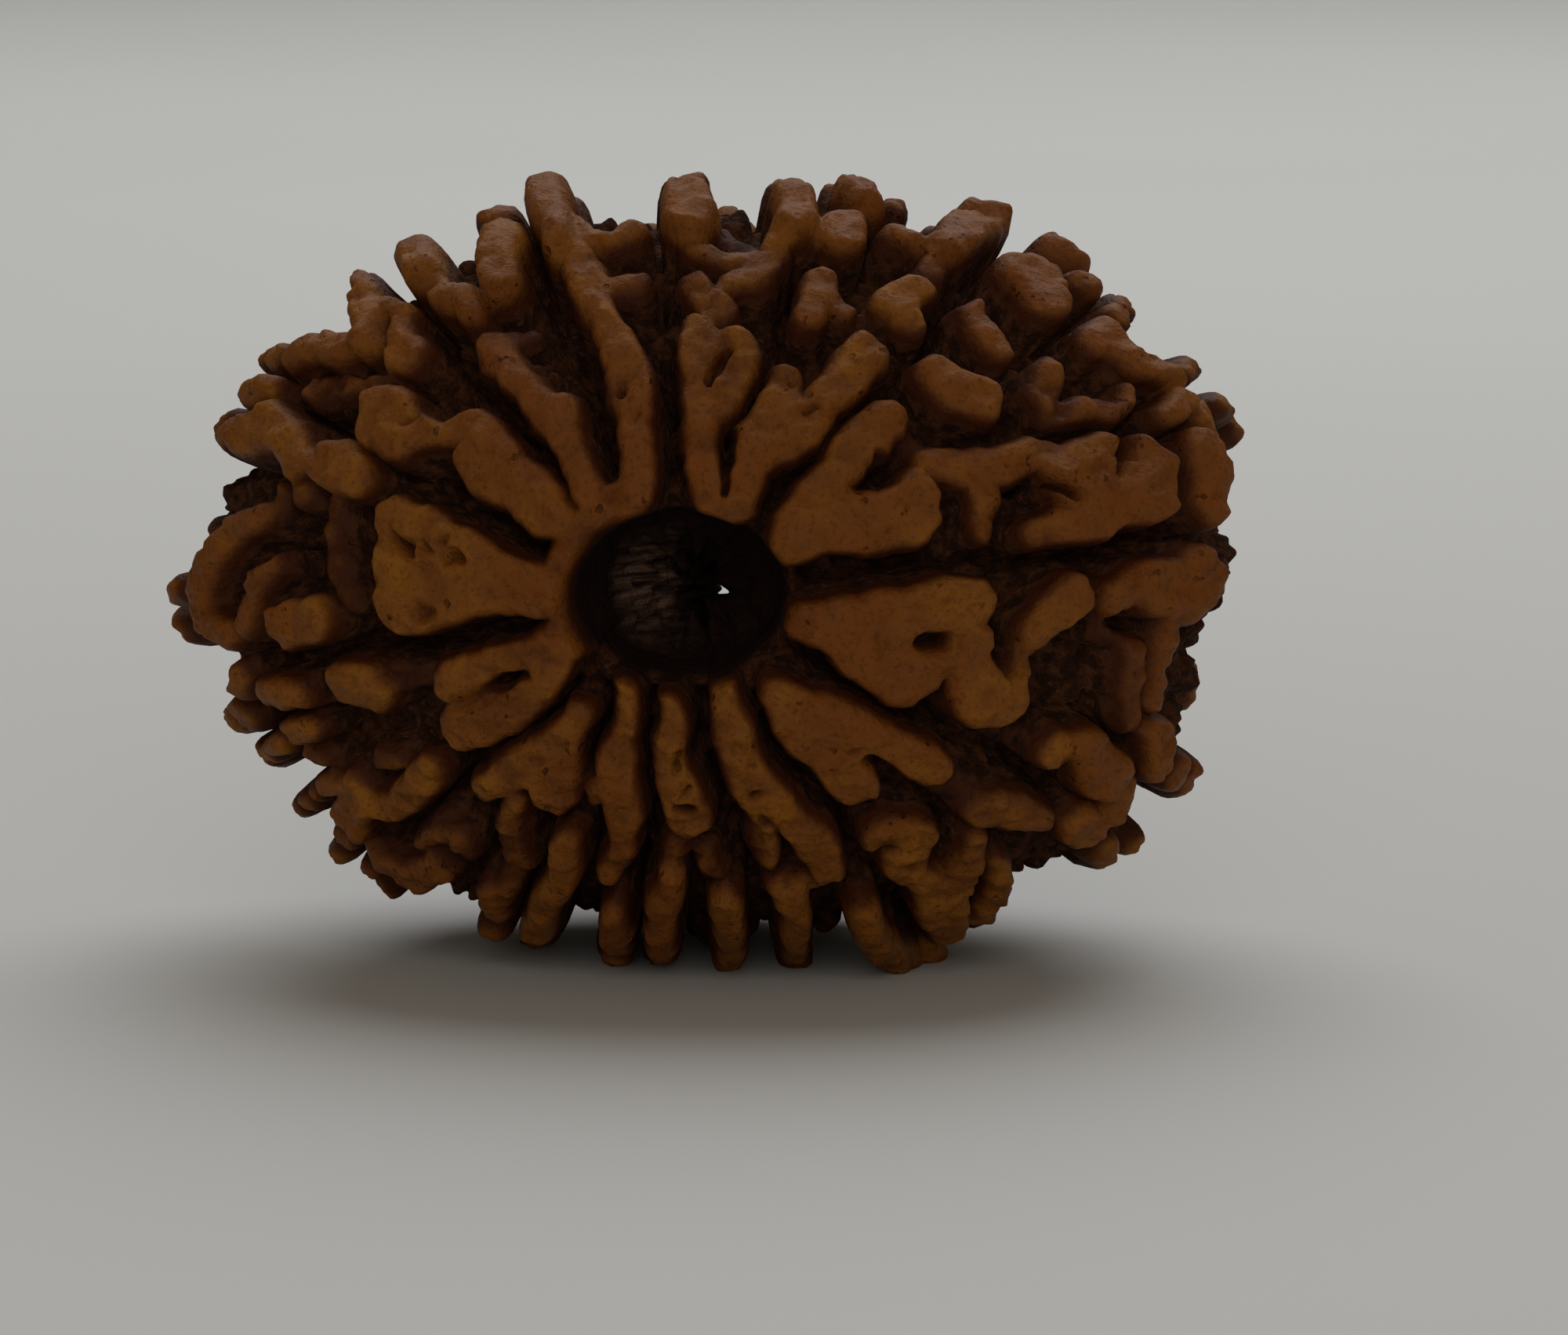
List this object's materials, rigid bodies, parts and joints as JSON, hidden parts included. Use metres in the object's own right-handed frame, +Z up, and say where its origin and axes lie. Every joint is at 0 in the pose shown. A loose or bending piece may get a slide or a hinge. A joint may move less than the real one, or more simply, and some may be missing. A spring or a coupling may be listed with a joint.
{
  "type": "rudraksha bead",
  "caption": "Oval seed bead with a bore from face to face and a raised net of lobes, ridges and knobs, lying on its edge.",
  "frame": {"origin": "under the middle of the bead, on the surface that it rests on", "axes": "+X to the right across the face that the picture shows, +Y away along the bore, +Z up"},
  "size_m": [0.0274, 0.0182, 0.0201],
  "materials": {
    "seed_stone": "dry, worn semi-matt brown on the crests, near black in the valleys"
  },
  "bodies": {
    "root": {"bead": "seed_stone"}
  },
  "joints": []
}
